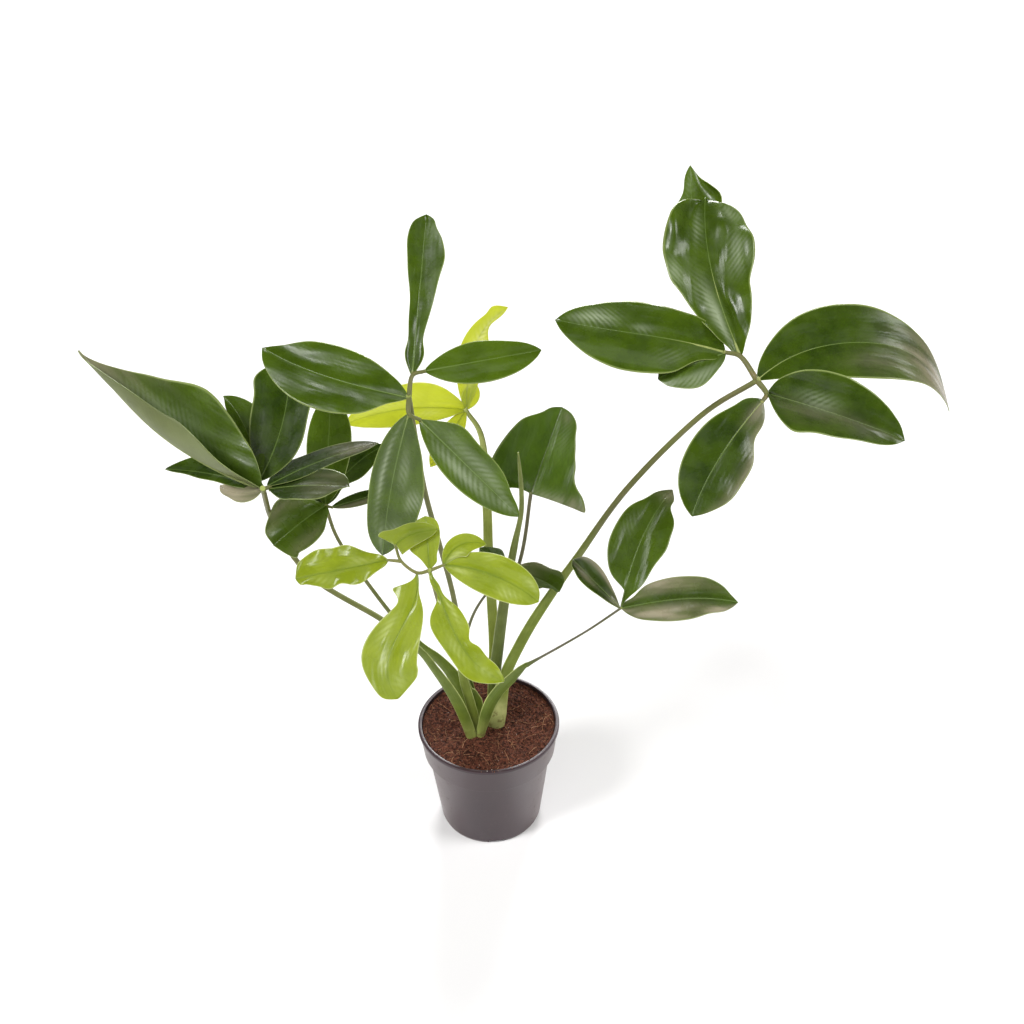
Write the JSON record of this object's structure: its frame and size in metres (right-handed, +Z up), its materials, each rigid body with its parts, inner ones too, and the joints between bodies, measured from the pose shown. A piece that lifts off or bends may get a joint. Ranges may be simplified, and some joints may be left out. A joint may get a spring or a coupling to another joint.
{
  "type": "potted philodendron",
  "caption": "Leafy house plant with compound, hand-shaped leaves on long stalks, in a round tapered plastic nursery pot filled with coir soil.",
  "frame": {"origin": "middle of the pot's underside, on the surface that it stands on", "axes": "+Z up, +X along the plant's widest reach, towards the tallest leaf; -Y is the side that the leaves face"},
  "size_m": [0.8622, 0.481, 0.7554],
  "materials": {
    "pot": "dark grey moulded polypropylene, satin",
    "soil": "loose brown coir with fibres, matt",
    "leaf_dark": "mature leaf, dark green and glossy",
    "leaf_fresh": "leaf and leaf sheath, mid green, satin",
    "leaf_young": "young leaf, yellow green, glossy"
  },
  "bodies": {
    "root": {"pot": "pot", "soil": "soil", "frond_right": "leaf_dark", "frond_centre": "leaf_dark", "frond_left": "leaf_dark", "frond_small_left": "leaf_dark", "frond_young_front": "leaf_young", "frond_young_back": "leaf_young", "leaf_arrowhead": "leaf_fresh", "leaf_spike": "leaf_fresh", "leaf_three_lobed": "leaf_dark", "leaf_small_back": "leaf_dark"}
  },
  "joints": []
}
